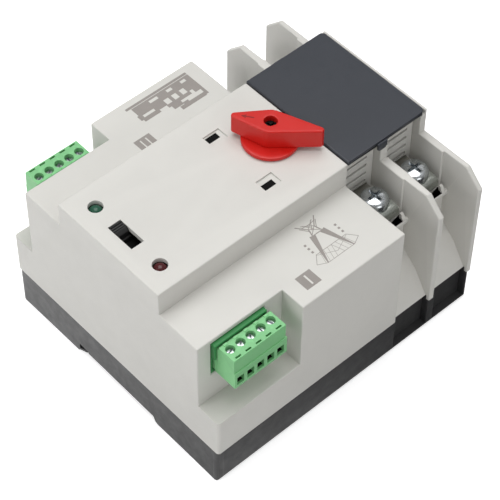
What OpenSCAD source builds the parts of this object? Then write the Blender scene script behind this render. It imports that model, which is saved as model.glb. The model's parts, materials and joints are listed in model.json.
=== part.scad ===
// Dual-supply changeover switch for a 35 mm rail, lying on its back.
// Origin: centre of the footprint on the rear plane.
// +X runs along the rail towards the control end, +Y across it, +Z out of the front.
// Lengths are millimetres. "d" is a distance from the control-end face.

/* [Overall] */
// Length along the rail
body_w = 141.6; // [120:0.1:180]
// Depth across the rail
body_d = 126; // [115:0.5:160]
// Height of the dark base
base_h = 20; // [16:0.5:26]
// Height of the connector ledge
ledge_h = 40.5; // [36:0.5:46]
// Height of the side deck and barrier walls
deck_h = 77; // [74:0.5:84]
// Height of the raised centre deck
top_h = 89; // [87.5:0.5:98]

/* [Layout] */
// Length of the control section
control_len = 97; // [92:0.5:104]
// Length of the connector recess
recess_len = 42.8; // [39:0.2:46]
// Half-depth of the recess back wall
recess_y = 51.4; // [50:0.1:53]
// Half-depth of the raised centre deck
centre_y = 29.7; // [28:0.1:32]
// Half-depth of the vent faces
vent_y = 26; // [25:0.1:27]
// Width of each terminal bay
bay_w = 19.5; // [18:0.1:21]
// Wall thickness of the housing
wall_t = 2.2; // [1.6:0.1:2.8]
// Thickness of the middle and end barriers
barrier_t = 3; // [2:0.1:4]

/* [Knob] */
// Distance of the knob axis from the control end
knob_d = 83.5; // [80:0.5:86]
// Radius of the knob disc
knob_r = 11.8; // [10:0.1:13]
// Height of the knob bar
knob_bar_h = 9.2; // [7:0.1:12]
// Length of the pointer end of the bar
knob_point = 15.9; // [13:0.1:18]
// Length of the grip end of the bar
knob_grip = 21.3; // [18:0.1:23]
// Angle of the pointer at rest, degrees
knob_rest = -54.7; // [-60:0.1:-45]
// Diameter of the knob shaft
shaft_dia = 8; // [7:0.1:9]
// Radial running fit of the shaft in its bearing
shaft_fit = 0.06; // [0.02:0.01:0.1]

/* [Mechanism] */
// Pitch radius of the pinion
pinion_r = 6; // [5.5:0.1:6.5]
// Teeth on the pinion
pinion_teeth = 12; // [10:1:14]
// Stroke of the contact carriage
stroke = 11.46; // [9:0.01:13]
// Gap left between closed contacts
contact_gap = 0.05; // [0.02:0.01:0.2]
// Diameter of the guide rods
rod_dia = 4; // [3:0.1:5]
// Radial running fit of the carriage on its rods
rod_fit = 0.08; // [0.04:0.01:0.1]

/* [Terminals] */
// Width of busbars and clamps
bar_w = 13; // [11:0.1:14]
// Underside height of the busbars
bar_z = 60; // [59:0.5:61]
// Busbar thickness
bar_t = 3; // [2:0.1:3.5]
// Clamping plate thickness
clamp_t = 2; // [1.2:0.1:2.5]
// Distance of the terminal screws from the centre line
screw_y = 36.7; // [34:0.1:38]
// Thread diameter of the terminal screws
screw_dia = 6; // [5:0.5:6]
// Head diameter of the terminal screws
screw_head = 12; // [10:0.1:12.5]

/* [Connectors] */
// Pitch of the plug-in connector
pitch = 5.08; // [5:0.01:5.2]
// Ways in each connector
ways = 5; // [4:1:5]
// Distance of the first way from the control end
way_d = 11.4; // [11:0.1:13]
// Top height of the plugs
plug_top = 73.3; // [72:0.1:74]

/* [Rail] */
// Width of the mounting rail
rail_w = 35; // [34:0.1:36]
// Height of the rail face above the rear plane
rail_roof = 3.6; // [3.4:0.1:4]
// Thickness of the rail flange
rail_t = 1; // [0.9:0.1:1.2]
// Play around the rail
rail_fit = 0.3; // [0.1:0.05:0.5]
// Travel of the rail latch
latch_travel = 4; // [3:0.1:5]
// Sliding fit of the latch in its channel
latch_fit = 0.2; // [0.1:0.05:0.4]

/* [Hidden] */
$fn = 48;
e = 0.01;
half_d = body_d / 2;
floor_z = 8;
knob_x = body_w / 2 - knob_d;
mid_lo = control_len + bay_w;
mid_hi = mid_lo + barrier_t;
end_lo = mid_hi + bay_w + 0.1;
bay_a = control_len + bay_w / 2;
bay_b = mid_hi + bay_w / 2;
block_top = top_h - 1.5;
cover_top = top_h + 0.9;
shelf_z = bar_z - 3;
pin_gear_z = bar_z + 5;
gear_h = 5.5;
tooth = 2 * PI * pinion_r / pinion_teeth;
carr_y = -stroke / 2;
contact_half = 5;
fixed_y = stroke / 2 + contact_half + contact_gap;
rod_z = 46;
rod_d = [73.5, 118];
coil_d = 56;
coil_z = 38;
board_z = 54;
disp_z = top_h - 9;
inner_y = recess_y - wall_t;
latch_w = 14;
plug_z0 = 56.4;
plug_d0 = way_d - 2.9;
plug_d1 = plug_d0 + (ways - 1) * pitch + 5.88;
slot_d0 = 7;
slot_d1 = 13.2;
slot_y0 = -7.8;
slot_y1 = 6.3;
slider_len = 5.2;
slider_fit = 0.15;
foot_t = 1.5;
foot_h = 2.2;
lens_t = 1.2;
led_d = 10.2;
led_y = 19;
led_r = 2.95;
led_z = top_h - 3.4;
head_d0 = plug_d0 - 1.5;
head_d1 = plug_d1 - 1.3;
head_top = plug_top + 1.2;
boss = [[8, half_d - 6.5], [body_w / 2 + 19.2, half_d - 6.5], [118, 36]];
hub_r = pinion_r - 2;

// Block from distance, depth and height ranges
module blk(d, y, z)
  translate([body_w / 2 - d[1], y[0], z[0]])
    cube([d[1] - d[0], y[1] - y[0], z[1] - z[0]]);

// Same block on both sides of the centre line
module pair(d, y, z) {
  blk(d, y, z);
  blk(d, [-y[1], -y[0]], z);
}

// Children and their mirror image across the rail
module both() {
  children();
  mirror([0, 1, 0]) children();
}

// Upright cylinder at a distance and depth
module post(d, y, z0, z1, r)
  translate([body_w / 2 - d, y, z0])
    cylinder(h = z1 - z0, r = r);

// Cylinder along Y
module rod(d, z, y0, y1, r)
  translate([body_w / 2 - d, y0, z])
    rotate([-90, 0, 0])
      cylinder(h = y1 - y0, r = r);

// Profile in Y and Z, extruded over a distance range
module prism(d, pts)
  translate([body_w / 2 - d[1], 0, 0])
    rotate([90, 0, 90])
      linear_extrude(height = d[1] - d[0])
        polygon(pts);

// Upright block with rounded corners
module rblk(d, y, z, r) {
  blk([d[0] + r, d[1] - r], y, z);
  blk(d, [y[0] + r, y[1] - r], z);
  for (a = [d[0] + r, d[1] - r], b = [y[0] + r, y[1] - r]) post(a, b, z[0], z[1], r);
}

// ---------- fixed structure ----------

module base() color([0.2, 0.2, 0.21]) {
  hook = rail_w / 2 + rail_fit;
  difference() {
    intersection() {
      prism([0, body_w], [[-half_d + 1.2, 0], [half_d - 1.2, 0], [half_d, 3], [half_d, base_h],
        [-half_d, base_h], [-half_d, 3]]);
      rblk([0, body_w], [-half_d, half_d], [0, base_h], 3);
    }
    // inner hollow
    blk([3, body_w - 3], [-half_d + 6.6, half_d - 6.6], [floor_z, base_h + e]);
    // rail slot across the back
    prism([-1, body_w + 1], [[-24.9, -1], [-24.9, 0], [-23.7, 1.4], [-23.6, 5.6], [-18.2, 5.2],
      [-17.9, rail_roof], [23.4, rail_roof], [24.3, 1.3], [26.5, 0], [26.5, -1]]);
    // latch channel with side grooves
    blk([body_w / 2 - latch_w / 2, body_w / 2 + latch_w / 2], [-half_d - 1, -17], [-1, 3.8]);
    blk([body_w / 2 - latch_w / 2 - 2, body_w / 2 + latch_w / 2 + 2], [-half_d - 1, -17], [1.2, 2.6]);
    // latch spring pocket
    blk([body_w / 2 - 3.2, body_w / 2 + 3.2], [-52, -26], [3.7, 9.2]);
    // bay recesses in the sides
    pair([control_len, mid_lo], [half_d - 3.6, half_d + 1], [2.4, base_h + 1]);
    pair([mid_hi + 0.6, end_lo - 0.1], [half_d - 3.6, half_d + 1], [2.4, base_h + 1]);
    // housing screw counterbores
    for (p = boss, s = [-1, 1]) post(p[0], s * p[1], -1, 4, 3.4);
    for (p = boss, s = [-1, 1]) post(p[0], s * p[1], 3, base_h + 1, 1.8);
    // notches for the barrier feet
    for (q = [[mid_lo - 0.1, mid_hi + 0.1], [end_lo - 0.1, body_w + 1]])
      pair(q, [half_d - foot_t - 0.1, half_d + 1], [base_h - foot_h - 0.1, base_h + 1]);
  }
  // roof over the latch spring pocket
  difference() {
    blk([body_w / 2 - 5.2, body_w / 2 + 5.2], [-54, -24], [floor_z - 1, 11]);
    blk([body_w / 2 - 3.2, body_w / 2 + 3.2], [-52, -26], [3.7, 9.2]);
  }
  // slanted lip in the slot
  for (q = [[0, 18], [body_w - 18, body_w]])
    prism(q, [[-24.2, 0.8], [-23.7, 1.4], [-18.4, 4.2], [-18.9, 5], [-24.2, 2.4]]);
  // fixed rail hooks
  for (q = [[18, 40], [body_w - 40, body_w - 18]])
    prism(q, [[hook - 2.5, 0.8], [hook - 2.5, rail_roof - rail_t - rail_fit],
      [hook, rail_roof - rail_t - rail_fit], [hook, rail_roof + 1], [25.5, rail_roof + 1],
      [25.5, 0], [hook - 1.5, 0]]);
  // screw columns
  for (p = boss, s = [-1, 1]) difference() {
    post(p[0], s * p[1], floor_z - 1, base_h, 4.6);
    post(p[0], s * p[1], 3, base_h + 1, 1.8);
  }
  // rod posts
  for (d = rod_d, s = [-1, 1]) difference() {
    blk([d - 3.5, d + 3.5], [s * 21 - 2, s * 21 + 2], [floor_z - 1, rod_z + 4]);
    rod(d, rod_z, s * 21 - 3, s * 21 + 3, rod_dia / 2);
  }
  // coil cradles
  for (s = [-1, 1], y = [18, 42])
    blk([coil_d - 10, coil_d + 10], [s * y - 1.5, s * y + 1.5], [floor_z - 1, coil_z - 14.5]);
  // board posts
  for (d = [7, 38], s = [-1, 1]) post(d, s * 33, floor_z - 1, board_z, 3);
}

// Barrier profile standing on the ramp
function barrier(y0) = [[y0, base_h], [half_d - foot_t, base_h], [half_d - foot_t, base_h - foot_h],
  [half_d, base_h - foot_h], [half_d, deck_h - 7.6], [half_d - 7.8, deck_h + 0.2], [y0, deck_h + 0.2]];

// Terminal pedestal and ramp profile
function pedestal() = [[24, base_h], [half_d - 2, base_h], [half_d - 9, 30.5], [47.3, 36.6],
  [45, 38.5], [45, shelf_z - 3], [47.2, shelf_z - 2.6], [47.2, shelf_z], [42.5, shelf_z],
  [42.5, bar_z], [24, bar_z]];

module housing() color([0.87, 0.86, 0.84]) {
  w = wall_t;
  difference() {
    union() {
      intersection() {
        union() {
          blk([0, control_len], [-half_d, half_d], [base_h, ledge_h]);
          blk([0, control_len], [-recess_y, recess_y], [ledge_h - 1, deck_h]);
          blk([recess_len, control_len], [-half_d, half_d], [ledge_h - 1, deck_h]);
          blk([0, control_len + 0.4], [-centre_y, centre_y], [deck_h - 1, top_h]);
        }
        rblk([0, control_len + 6], [-half_d, half_d], [0, top_h + 1], 1.5);
      }
      // barriers
      both() {
        prism([mid_lo, mid_hi], barrier(24));
        prism([mid_lo - 0.6, mid_hi + 0.6], [[24, base_h], [43, base_h], [43, deck_h + 0.2],
          [centre_y, deck_h + 0.2], [centre_y, block_top], [24, block_top]]);
        prism([end_lo, body_w], barrier(24));
        prism([end_lo - 1, body_w], [[24, base_h], [43, base_h], [43, deck_h + 0.2],
          [centre_y, deck_h + 0.2], [centre_y, block_top], [24, block_top]]);
        prism([control_len - 1, body_w - 0.5], pedestal());
        // rails over the vent plates
        blk([control_len - 1, body_w], [vent_y - 2.5, vent_y], [block_top - 2.5, block_top]);
      }
      // upright horn beside each wire mouth
      both() for (d = [bay_a, bay_b])
        prism([d + 6.8, d + 8.4], [[44.8, shelf_z - 0.5], [47.1, shelf_z - 0.5], [46.9, shelf_z + 0.7],
          [46.2, shelf_z + 1.6], [45.7, shelf_z + 2.6], [45, shelf_z + 3.1], [44.4, shelf_z + 2.8],
          [44.5, shelf_z + 1.4]]);
      // end wall of the power block
      blk([end_lo, body_w], [-vent_y, vent_y], [base_h, block_top]);
      // rim beside the cover
      blk([body_w - 1.3, body_w], [-centre_y, centre_y], [block_top - 1, cover_top - 0.2]);
    }
    // control hollow
    difference() {
      union() {
        blk([w, control_len - w], [-half_d + w, half_d - w], [base_h - 1, ledge_h - w]);
        blk([w, control_len - w], [-inner_y, inner_y], [ledge_h - w - 1, deck_h - w]);
        blk([recess_len + w, control_len - w], [-half_d + w, half_d - w], [ledge_h - w - 1, deck_h - w]);
        blk([w, control_len - w], [-centre_y + w, centre_y - w], [deck_h - w - 1, top_h - w]);
      }
      // screw bosses stay
      for (p = [boss[0], boss[1]], s = [-1, 1]) post(p[0], s * p[1], base_h - 1, ledge_h - 1, 4.2);
      for (s = [-1, 1])
        blk([boss[1][0] - 2, boss[1][0] + 2], [s * (half_d - 4) - 2.5, s * (half_d - 4) + 2.5],
          [base_h - 1, ledge_h - 1]);
    }
    // power hollow
    blk([control_len - w - 1, end_lo], [-24, 24], [base_h - 1, top_h - 6]);
    blk([control_len + 2, end_lo], [-23.4, 23.4], [top_h - 7, top_h + 4]);
    // vent plate seats
    both() for (q = [[control_len, mid_lo - 0.6], [mid_hi + 0.6, end_lo - 1]])
      blk(q, [23, vent_y + e], [bar_z - e, block_top - 2.5]);
    // hollow under the pedestals
    both() for (q = [[control_len + 2, mid_lo - 2.6], [mid_hi + 2.6, end_lo - 3]])
      blk(q, [23, 42.5], [base_h - 1, 42]);
    // nut pockets and shank clearance
    both() for (d = [bay_a, bay_b]) {
      post(d, screw_y, bar_z - 5.2, bar_z + 1, 11.6 / 2, $fn = 6);
      post(d, screw_y, 44, bar_z, screw_dia / 2 + 0.6);
    }
    // wire mouths under the busbars
    both() for (d = [bay_a, bay_b]) blk([d - 7, d + 7], [37.4, 46], [shelf_z, bar_z + e]);
    // connector headers through the recess wall
    both() blk([head_d0 - 0.1, head_d1 + 0.1], [41.9, recess_y + 1], [board_z + 1.5, head_top + 0.1]);
    // knob hole
    post(knob_d, 0, top_h - w - 1, top_h + 1, 8.2);
    // mode switch slot
    blk([slot_d0, slot_d1], [slot_y0, slot_y1], [top_h - w - 1, top_h + 1]);
    // lamp holes
    for (s = [-1, 1]) post(led_d, s * led_y, top_h - w - 1, top_h + 1, 3.15);
    // position windows in shallow frames
    both() {
      blk([64.2, 72.4], [12.5, 18.5], [top_h - 0.8, top_h + 1]);
      blk([64.7, 70.4], [14.8, 17.9], [top_h - w - 1, top_h + 1]);
    }
    // pilot bores
    for (p = boss, s = [-1, 1]) post(p[0], s * p[1], base_h - 1, 34, 1.4);
  }
}

// Smoked lenses closing the position windows
module window_lenses() color([0.04, 0.04, 0.04])
  pair([64.7 + 0.05, 70.4 - 0.05], [14.8 + 0.05, 17.9 - 0.05], [top_h - 0.9 - lens_t, top_h - 0.9]);

module cover() color([0.31, 0.32, 0.35]) {
  c0 = control_len + 0.7;
  c1 = end_lo + 0.9;
  difference() {
    union() {
      blk([c0, c1 - 2], [-centre_y, centre_y], [block_top + 0.1, cover_top]);
      blk([c1 - 3, c1], [-centre_y + 2, centre_y - 2], [block_top + 0.1, cover_top]);
      for (s = [-1, 1]) post(c1 - 2, s * (centre_y - 2), block_top + 0.1, cover_top, 2);
    }
    // shallow underside relief
    blk([c0 + 4, c1 - 4], [-21, 21], [block_top, block_top + 0.9]);
  }
  // locating rim
  difference() {
    blk([c0 + 2, c1 - 2.4], [-23.2, 23.2], [block_top - 2.4, block_top + 0.5]);
    blk([c0 + 3.6, c1 - 4], [-21.6, 21.6], [block_top - 3, block_top + 1]);
  }
  // latch tabs over the edge
  both() {
    blk([113.4, 118.4], [centre_y + 0.05, centre_y + 0.9], [cover_top - 4, cover_top - 1]);
    blk([114.2, 117.6], [centre_y + 0.05, centre_y + 0.9], [cover_top - 4.7, cover_top - 3]);
    blk([113.4, 118.4], [centre_y - 1, centre_y + 0.9], [block_top + 0.2, cover_top - 1]);
  }
}

// Louvred plate closing the inner end of each bay
module vent_plates() color([0.3, 0.31, 0.33])
  both() for (q = [[control_len + 0.1, mid_lo - 0.7], [mid_hi + 0.7, end_lo - 1.1]]) {
    m = (q[0] + q[1]) / 2;
    difference() {
      blk(q, [vent_y - 1.6, vent_y], [bar_z + 0.05, block_top - 2.6]);
      for (k = [0:3])
        blk([m - 5.7, m + 5.7], [vent_y - 3, vent_y + 1],
          [deck_h + 1.95 - 4.65 * k, deck_h + 3.25 - 4.65 * k]);
      blk([m - bar_w / 2 - 0.3, m + bar_w / 2 + 0.3], [vent_y - 3, vent_y + 1],
        [bar_z - 1, bar_z + bar_t + 0.6]);
    }
  }

module busbars() color([0.76, 0.5, 0.32])
  both() for (d = [bay_a, bay_b]) difference() {
    blk([d - bar_w / 2, d + bar_w / 2], [fixed_y + 1, 42.4], [bar_z, bar_z + bar_t]);
    post(d, screw_y, bar_z - 1, bar_z + bar_t + 1, screw_dia / 2 + 0.3);
  }

module fixed_contacts() color([0.83, 0.83, 0.8])
  both() for (d = [bay_a, bay_b])
    blk([d - 3.5, d + 3.5], [fixed_y, fixed_y + 1], [bar_z, bar_z + bar_t]);

// Saddle plate with a turned-down front lip
module saddle_clamps() color([0.72, 0.73, 0.75])
  both() for (d = [bay_a, bay_b]) difference() {
    z0 = bar_z + bar_t;
    prism([d - bar_w / 2, d + bar_w / 2], [[30.2, z0], [42.6, z0], [42.9, z0 - 0.6], [43, bar_z],
      [44.9, bar_z], [44.8, z0 - 0.4], [44.2, z0 + 1], [43, z0 + clamp_t - 0.3],
      [41.8, z0 + clamp_t], [30.2, z0 + clamp_t]]);
    post(d, screw_y, z0 - 1, z0 + 4, screw_dia / 2 + 0.3);
  }

module terminal_screws() color([0.75, 0.76, 0.79])
  both() for (d = [bay_a, bay_b]) {
    z0 = bar_z + bar_t + clamp_t;
    difference() {
      union() {
        post(d, screw_y, z0, z0 + 3.4, screw_head / 2);
        translate([body_w / 2 - d, screw_y, z0 + 3.4])
          cylinder(h = 1.2, r1 = screw_head / 2, r2 = screw_head / 2 - 1.6);
      }
      // cross recess
      translate([body_w / 2 - d, screw_y, z0 + 3.4]) {
        cube([7, 1.5, 4], center = true);
        cube([1.5, 7, 4], center = true);
      }
    }
    post(d, screw_y, bar_z - 11, z0 + 0.5, screw_dia / 2);
  }

module captive_nuts() color([0.7, 0.71, 0.73])
  both() for (d = [bay_a, bay_b]) difference() {
    post(d, screw_y, bar_z - 5, bar_z, 11.4 / 2, $fn = 6);
    post(d, screw_y, bar_z - 6, bar_z + 1, screw_dia / 2);
  }

module housing_screws() color([0.6, 0.6, 0.62])
  for (p = boss, s = [-1, 1]) {
    difference() {
      post(p[0], s * p[1], 1.6, 4, 3);
      translate([body_w / 2 - p[0], s * p[1], 1.6]) {
        cube([4, 0.8, 1.6], center = true);
        cube([0.8, 4, 1.6], center = true);
      }
    }
    post(p[0], s * p[1], 3.5, 32, 1.4);
  }

// ---------- electrics ----------

module coil_bobbins() color([0.15, 0.15, 0.16])
  both() difference() {
    union() {
      rod(coil_d, coil_z, 16, 44, 6);
      rod(coil_d, coil_z, 16, 17.5, 11.5);
      rod(coil_d, coil_z, 42.5, 44, 11.5);
    }
    rod(coil_d, coil_z, 15, 45, 4.6);
  }

module coil_windings() color([0.72, 0.36, 0.16])
  both() difference() {
    rod(coil_d, coil_z, 17.6, 42.4, 11);
    rod(coil_d, coil_z, 17, 43, 6.05);
  }

module coil_yokes() color([0.62, 0.63, 0.65])
  both() difference() {
    blk([coil_d - 10, coil_d + 10], [14, 46], [coil_z - 14.5, coil_z + 12]);
    blk([coil_d - 11, coil_d + 11], [16, 44], [coil_z - 12.5, coil_z + 13]);
    rod(coil_d, coil_z, 13, 17, 4.6);
  }

module power_board() color([0.1, 0.35, 0.2])
  difference() {
    blk([3, 42], [-inner_y + 0.5, inner_y - 0.5], [board_z, board_z + 1.6]);
    for (d = [7, 38], s = [-1, 1]) post(d, s * 33, board_z - 1, board_z + 3, 1.6);
    both() for (i = [0:ways - 1]) post(way_d + i * pitch, 43.5, board_z - 1, board_z + 3, 0.75);
  }

module display_board() color([0.1, 0.35, 0.2])
  difference() {
    blk([3, 60], [-centre_y + wall_t + 0.5, centre_y - wall_t - 0.5], [disp_z, disp_z + 1.6]);
    for (d = [18, 54], s = [-1, 1]) post(d, s * 22, disp_z - 1, disp_z + 3, 1.6);
  }

module board_spacers() color([0.8, 0.8, 0.78])
  for (d = [18, 54], s = [-1, 1]) difference() {
    post(d, s * 22, disp_z + 1.6, top_h - wall_t, 3);
    post(d, s * 22, disp_z + 1, top_h - wall_t - 1.5, 1.3);
  }

module relays() color([0.1, 0.2, 0.45])
  both() blk([20, 39], [17, 32.5], [board_z + 1.6, board_z + 17]);

module transformer() color([0.75, 0.7, 0.2]) {
  blk([10, 34], [-11, 11], [board_z + 1.6, board_z + 20]);
  blk([14, 30], [-14, 14], [board_z + 4, board_z + 17]);
}

module plug_headers() color([0.2, 0.5, 0.28])
  both() difference() {
    union() {
      blk([head_d0, head_d1], [42, recess_y - 0.2], [board_z + 1.6, head_top]);
      blk([head_d0, head_d1], [recess_y - 1, 53.3], [66.2, head_top]);
    }
    blk([head_d0 + 0.9, head_d1 - 0.9], [45, 54], [board_z + 3.2, head_top - 0.9]);
    for (i = [0:ways - 1]) blk([way_d + i * pitch - 0.5, way_d + i * pitch + 0.5], [41, 46], [board_z, 63.1]);
  }

module header_pins() color([0.8, 0.8, 0.78])
  both() for (i = [0:ways - 1]) {
    c = way_d + i * pitch;
    blk([c - 0.5, c + 0.5], [43, 51], [62, 63]);
    blk([c - 0.5, c + 0.5], [43, 44], [board_z - 1.5, 62.5]);
  }

// Round lamp with a domed top and a flange on the board
module lamp(side) {
  post(led_d, side * led_y, disp_z + 1.6, led_z, led_r);
  intersection() {
    translate([body_w / 2 - led_d, side * led_y, led_z]) sphere(r = led_r);
    post(led_d, side * led_y, led_z - e, led_z + led_r + 1, led_r + 1);
  }
}

module led_green() color([0.2, 0.7, 0.3]) lamp(-1);
module led_red() color([0.5, 0.08, 0.06]) lamp(1);

module switch_body() color([0.12, 0.12, 0.13])
  difference() {
    blk([slot_d0 - 1.6, slot_d1 + 1.6], [slot_y0 - 3, slot_y1 + 3], [disp_z + 1.6, top_h - wall_t]);
    blk([slot_d0 - 0.4, slot_d1 + 0.4], [slot_y0 - 1.4, slot_y1 + 1.4], [disp_z + 3, top_h - 3.8]);
    blk([slot_d0, slot_d1], [slot_y0, slot_y1], [disp_z + 3, top_h]);
  }

module microswitches() color([0.16, 0.16, 0.17])
  both() {
    blk([72.5, 79], [30, 50], [58, 68]);
    blk([74.5, 77], [28.8, 30.5], [61, 63]);
    blk([76.3, 79], [36, 44], [floor_z, 58.5]);
  }

module guide_rods() color([0.7, 0.71, 0.73])
  for (d = rod_d) rod(d, rod_z, -22.8, 22.8, rod_dia / 2);

// Flanged bush hanging from the centre deck
module knob_bearing() color([0.9, 0.88, 0.8])
  difference() {
    union() {
      post(knob_d, 0, top_h - wall_t - 2, top_h - wall_t, 11);
      post(knob_d, 0, pin_gear_z + gear_h + 1, top_h - 0.2, 8.1);
    }
    post(knob_d, 0, 60, top_h + 1, shaft_dia / 2 + shaft_fit);
  }

// ---------- knob and pinion ----------

knob_z = top_h + 0.3;
disc_t = 1.8;
bar_z0 = knob_z + disc_t;

module knob() color([0.82, 0.12, 0.1])
  translate([knob_x, 0, 0]) rotate([0, 0, knob_rest]) difference() {
    union() {
      translate([0, 0, knob_z]) cylinder(h = disc_t + e, r = knob_r, $fn = 96);
      translate([0, 0, bar_z0]) hull() {
        cylinder(h = knob_bar_h - 0.8, r = 6.2, $fn = 40);
        cylinder(h = knob_bar_h, r = 5.4, $fn = 40);
        translate([knob_point - 1.4, 0, 0]) cylinder(h = knob_bar_h - 0.8, r = 1.4, $fn = 24);
        translate([knob_point - 1.8, 0, 0]) cylinder(h = knob_bar_h, r = 1, $fn = 24);
        translate([1.4 - knob_grip, 0, 0]) cylinder(h = knob_bar_h - 0.8, r = 1.4, $fn = 24);
        translate([1.8 - knob_grip, 0, 0]) cylinder(h = knob_bar_h, r = 1, $fn = 24);
      }
    }
    translate([0, 0, bar_z0 + 4]) cylinder(h = knob_bar_h, r = 2.7);
    translate([0, 0, knob_z - 1]) cylinder(h = 6.2, r = shaft_dia / 2);
    translate([0, 0, knob_z]) cylinder(h = knob_bar_h, r = 1.6);
    // pointer mark
    translate([6.6, 0, bar_z0 + knob_bar_h - 0.3]) linear_extrude(height = 1)
      polygon([[0, 0.3], [2.6, 0.3], [2.2, 1.2], [5, 0], [2.2, -1.2], [2.6, -0.3], [0, -0.3]]);
  }

module knob_screw() color([0.3, 0.3, 0.31])
  translate([knob_x, 0, 0]) difference() {
    union() {
      translate([0, 0, bar_z0 + 4]) cylinder(h = 2.2, r = 2.6);
      translate([0, 0, bar_z0 - 3]) cylinder(h = 7.1, r = 1.5);
    }
    translate([0, 0, bar_z0 + 6]) cube([4, 0.9, 1.6], center = true);
    translate([0, 0, bar_z0 + 6]) cube([0.9, 4, 1.6], center = true);
  }

module knob_shaft() color([0.66, 0.67, 0.69])
  translate([knob_x, 0, 0]) difference() {
    union() {
      translate([0, 0, pin_gear_z - 1]) cylinder(h = gear_h + 1, r = hub_r);
      translate([0, 0, pin_gear_z + gear_h])
        cylinder(h = knob_z + 5.1 - pin_gear_z - gear_h, r = shaft_dia / 2);
    }
    translate([0, 0, bar_z0 - 4]) cylinder(h = 20, r = 1.5);
  }

module pinion() color([0.9, 0.88, 0.78])
  translate([knob_x, 0, pin_gear_z]) difference() {
    union() {
      cylinder(h = gear_h, r = pinion_r - 1.2);
      for (i = [0:pinion_teeth - 1]) rotate([0, 0, i * 360 / pinion_teeth])
        linear_extrude(height = gear_h)
          polygon([[3, -0.8], [pinion_r - 1.2, -0.75], [pinion_r, -0.5], [pinion_r + 0.8, -0.3],
            [pinion_r + 0.8, 0.3], [pinion_r, 0.5], [pinion_r - 1.2, 0.75], [3, 0.8]]);
    }
    translate([0, 0, -1]) cylinder(h = gear_h + 2, r = hub_r);
  }

// ---------- carriage ----------

module carriage() color([0.85, 0.84, 0.8])
  translate([0, carr_y, 0]) difference() {
    union() {
      blk([coil_d + 4, 134], [-8, 8], [bar_z - 9, bar_z - 5]);
      for (d = rod_d) blk([d - 4, d + 4], [-8, 8], [rod_z - 4, bar_z - 8]);
      // contact seats
      for (d = [bay_a, bay_b])
        blk([d - 4, d + 4], [-contact_half + 0.5, contact_half - 0.5], [bar_z - 6, bar_z]);
      // rack seat
      blk([knob_d - pinion_r - 6, knob_d - pinion_r - 1.4], [-9.5, 9.5], [bar_z - 6, pin_gear_z]);
      // flag post
      blk([66, 69], [-3, 3], [bar_z - 6, top_h - 4.6]);
      // plunger arm
      blk([coil_d - 3, coil_d + 8], [-3.5, 3.5], [coil_z - 6, bar_z - 5]);
    }
    for (d = rod_d) rod(d, rod_z, -9, 9, rod_dia / 2 + rod_fit);
    rod(coil_d, coil_z, -9, 9, 4);
  }

module rack() color([0.9, 0.88, 0.78]) {
  x0 = knob_x + pinion_r;
  intersection() {
    union() {
      translate([x0 + 1.3, carr_y - 9.5, pin_gear_z]) cube([4.6, 19, gear_h]);
      for (k = [-6:3]) translate([x0, (k + 0.5) * tooth, pin_gear_z]) linear_extrude(height = gear_h)
        polygon([[2.4, -0.8], [1.4, -0.8], [0, -0.5], [-0.8, -0.35], [-0.8, 0.35], [0, 0.5],
          [1.4, 0.8], [2.4, 0.8]]);
    }
    translate([x0 - 2, carr_y - 9.5, 0]) cube([10, 19, 100]);
  }
}

module moving_contacts() color([0.8, 0.55, 0.36])
  for (d = [bay_a, bay_b])
    blk([d - 4, d + 4], [carr_y - contact_half, carr_y + contact_half], [bar_z, bar_z + bar_t]);

module plunger_rod() color([0.6, 0.61, 0.63])
  rod(coil_d, coil_z, carr_y - 30, carr_y + 30, 4);

module flag_plate() color([0.06, 0.06, 0.06])
  blk([64, 71], [carr_y - 20, carr_y + 20], [top_h - 4.6, top_h - 3.8]);

// ---------- small moving pieces ----------

module mode_slider() color([0.08, 0.08, 0.08]) {
  y0 = slot_y0 + slider_fit;
  y1 = y0 + slider_len;
  difference() {
    prism([slot_d0 + 0.15, slot_d1 - 0.15], [[y0, top_h - 4.5], [y1, top_h - 4.5], [y1, top_h - 1.7],
      [y1 - 0.5, top_h - 0.9], [y1 - 1.5, top_h - 0.15], [y0 + 0.5, top_h], [y0, top_h - 0.4]]);
    for (k = [0:2])
      blk([slot_d0 - 1, slot_d1 + 1], [y0 + 0.9 + k * 1.1, y0 + 1.4 + k * 1.1], [top_h - 0.5, top_h + 1]);
  }
  blk([slot_d0 - 0.2, slot_d1 + 0.2], [y0 - 0.9, y1 + 0.9], [disp_z + 3.1, top_h - 4]);
}

module rail_latch() color([0.16, 0.16, 0.17]) {
  c = body_w / 2;
  h = latch_w / 2 - latch_fit;
  lip = -rail_w / 2 - rail_fit;
  difference() {
    union() {
      blk([c - h, c + h], [-half_d + 1.3, lip], [0.2, 3.5]);
      blk([c - h - 1.8, c + h + 1.8], [-half_d + 6, -27], [1.4, 2.4]);
      // hooked lip under the rail flange
      prism([c - h, c + h], [[lip - 1, 0.2], [lip + 1.3, 0.2], [lip + 2.4, 1.2],
        [lip + 2.4, rail_roof - rail_t - rail_fit], [lip - 1, rail_roof - rail_t - rail_fit]]);
      // spring tab
      blk([c - 2.8, c + 2.8], [-29.6, -28], [3, 8.4]);
    }
    // pull slot
    blk([c - 3.4, c + 3.4], [-half_d + 3, -half_d + 6], [-1, 5]);
  }
}

// Section of a round wire cut square to the coil's axis: a bent ellipse
function coil_section(r, wire, spread, n) = [for (i = [0:n - 1]) let (t = 360 * i / n)
  (r + wire * sin(t)) * [cos(spread * cos(t)), sin(spread * cos(t))]];

module latch_spring() color([0.7, 0.71, 0.73]) {
  turns = 8;
  coil_r = 1.9;
  wire = 0.33;
  travel = 15.4;
  lead = atan(travel / turns / (2 * PI * coil_r));
  translate([0, -30.2, 6.2]) rotate([90, 0, 0])
    linear_extrude(height = travel, twist = -360 * turns, slices = 12 * turns, segments = 12,
      convexity = 20) polygon(coil_section(coil_r, wire, wire / sin(lead) / coil_r * 180 / PI, 12));
}

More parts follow.
